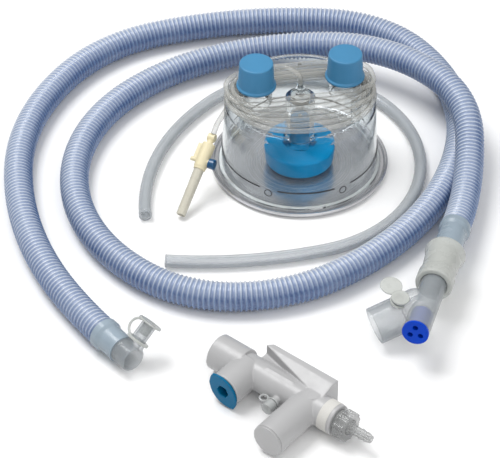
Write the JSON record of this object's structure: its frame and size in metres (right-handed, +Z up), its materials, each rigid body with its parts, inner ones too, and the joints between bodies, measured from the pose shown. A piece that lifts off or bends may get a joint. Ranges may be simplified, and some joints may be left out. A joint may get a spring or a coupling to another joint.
{
  "type": "ventilator humidifier breathing circuit",
  "caption": "Heated-humidifier breathing circuit for a ventilator: self-filling water chamber with caps and feed line, coiled heated hose with end fittings, smooth tube and gas manifold.",
  "frame": {"origin": "under the centre of the water chamber's round base, on the surface that it rests on", "axes": "+Z up; +Y away from the side where the manifold and the two hose ends lie; +X to the right, along the gas ports before their small turn"},
  "size_m": [0.3414, 0.4665, 0.0924],
  "materials": {
    "base_metal": "spun satin",
    "seal_silicone": "matt",
    "clear_wall": "clear polished",
    "printed_line": "printed ink",
    "cap_blue": "satin moulded",
    "float_blue": "satin moulded",
    "white_fitting": "matt",
    "feed_line": "soft translucent",
    "spike_cream": "satin moulded",
    "sheath_cream": "translucent",
    "vent_blue": "gloss",
    "hose_blue": "corrugated translucent",
    "wire": "insulated",
    "cuff_blue": "translucent",
    "smoke_clear": "translucent grey",
    "milky_soft": "milky translucent",
    "socket_blue": "gloss",
    "contact_metal": "plated",
    "tube_clear": "soft translucent",
    "manifold_white": "satin moulded",
    "plug_blue": "satin moulded",
    "cap_clear": "translucent",
    "spring_steel": "drawn wire",
    "nut_clear": "clear",
    "seal_dark": "matt",
    "label_paper": "blank label"
  },
  "bodies": {
    "chamber": {"base_plate": "base_metal", "base_seal": "seal_silicone", "chamber_shell": "clear_wall", "level_line": "printed_line", "valve_seat": "seal_silicone", "float_guide": "clear_wall", "second_float_pin": "clear_wall", "gas_baffles": "clear_wall", "feed_port": "clear_wall", "feed_tube": "feed_line"},
    "inlet_cap": {"inlet_cap": "cap_blue"},
    "outlet_cap": {"outlet_cap": "cap_blue"},
    "water_float": {"water_float": "float_blue", "valve_pin": "white_fitting"},
    "second_float": {"second_float": "clear_wall"},
    "spike": {"spike_body": "spike_cream", "spike_needle": "spike_cream", "vent_filter": "white_fitting"},
    "spike_sheath": {"spike_sheath": "sheath_cream"},
    "vent_cap": {"vent_cap": "vent_blue"},
    "hose": {"hose": "hose_blue", "heater_wire": "wire", "patient_cuff": "cuff_blue", "patient_connector": "smoke_clear", "patient_plug_strap": "milky_soft", "chamber_cuff": "cuff_blue", "swivel_collar": "milky_soft", "swivel_seal": "seal_silicone"},
    "patient_plug": {"patient_plug": "milky_soft"},
    "elbow": {"elbow": "smoke_clear", "socket_insert": "socket_blue", "socket_contacts": "contact_metal", "elbow_plug_strap": "milky_soft"},
    "elbow_plug": {"elbow_plug": "milky_soft"},
    "smooth_tube": {"smooth_tube": "tube_clear"},
    "manifold": {"manifold_body": "manifold_white", "long_port_cover": "manifold_white", "sample_cap_strap": "cap_clear", "relief_cover": "manifold_white", "relief_spring": "spring_steel", "oxygen_nipple": "nut_clear", "nipple_seal": "seal_dark", "label_band": "label_paper"},
    "port_plug": {"port_plug": "plug_blue"},
    "sample_cap": {"sample_cap": "cap_clear"},
    "relief_disc": {"relief_disc": "manifold_white"},
    "oxygen_nut": {"oxygen_nut": "nut_clear"}
  },
  "joints": [
    {"name": "inlet_cap_pull", "type": "slide", "parent": "chamber", "child": "inlet_cap", "axis": [0, 0, 1], "range_m": [0, 0.03]},
    {"name": "outlet_cap_pull", "type": "slide", "parent": "chamber", "child": "outlet_cap", "axis": [0, 0, 1], "range_m": [0, 0.03]},
    {"name": "water_float_rise", "type": "slide", "parent": "chamber", "child": "water_float", "axis": [0, 0, 1], "range_m": [0, 0.014]},
    {"name": "second_float_rise", "type": "slide", "parent": "chamber", "child": "second_float", "axis": [0, 0, 1], "range_m": [0, 0.02]},
    {"name": "spike_swing", "type": "hinge", "parent": "chamber", "child": "spike", "pos_m": [-0.0622, -0.0174, 0.036], "axis": [-0.9026, 0.4305, 0], "range_deg": [0, 50]},
    {"name": "spike_sheath_pull", "type": "slide", "parent": "spike", "child": "spike_sheath", "axis": [-0.3602, -0.7553, -0.5476], "range_m": [0, 0.036]},
    {"name": "vent_cap_pull", "type": "slide", "parent": "spike", "child": "vent_cap", "axis": [0.9026, -0.4305, 0], "range_m": [0, 0.008]},
    {"name": "hose_lift", "type": "slide", "parent": "chamber", "child": "hose", "axis": [0, 0, 1], "range_m": [0, 0.12]},
    {"name": "patient_plug_pull", "type": "slide", "parent": "hose", "child": "patient_plug", "axis": [0.5873, 0.4739, 0.6561], "range_m": [0, 0.012]},
    {"name": "elbow_swivel", "type": "hinge", "parent": "hose", "child": "elbow", "pos_m": [0.07979, -0.1793, 0.02788], "axis": [0.285, 0.9548, -0.0847], "range_deg": [0, 120]},
    {"name": "elbow_plug_pull", "type": "slide", "parent": "elbow", "child": "elbow_plug", "axis": [0.1103, -0.1291, 0.9855], "range_m": [0, 0.012]},
    {"name": "smooth_tube_lift", "type": "slide", "parent": "chamber", "child": "smooth_tube", "axis": [0, 0, 1], "range_m": [0, 0.12]},
    {"name": "manifold_lift", "type": "slide", "parent": "chamber", "child": "manifold", "axis": [0, 0, 1], "range_m": [0, 0.12]},
    {"name": "port_plug_pull", "type": "slide", "parent": "manifold", "child": "port_plug", "axis": [-0.6361, -0.7716, 0], "range_m": [0, 0.02]},
    {"name": "sample_cap_pull", "type": "slide", "parent": "manifold", "child": "sample_cap", "axis": [-0.6361, -0.7716, 0], "range_m": [0, 0.01]},
    {"name": "relief_open", "type": "slide", "parent": "manifold", "child": "relief_disc", "axis": [0.6361, 0.7716, 0], "range_m": [0, 0.0015], "stiffness_N_per_m": 60, "deforming": ["relief_spring"]},
    {"name": "oxygen_nut_turn", "type": "hinge", "parent": "manifold", "child": "oxygen_nut", "pos_m": [0.02428, -0.27517, 0.0124], "axis": [0.7716, -0.6361, 0], "continuous": true}
  ]
}
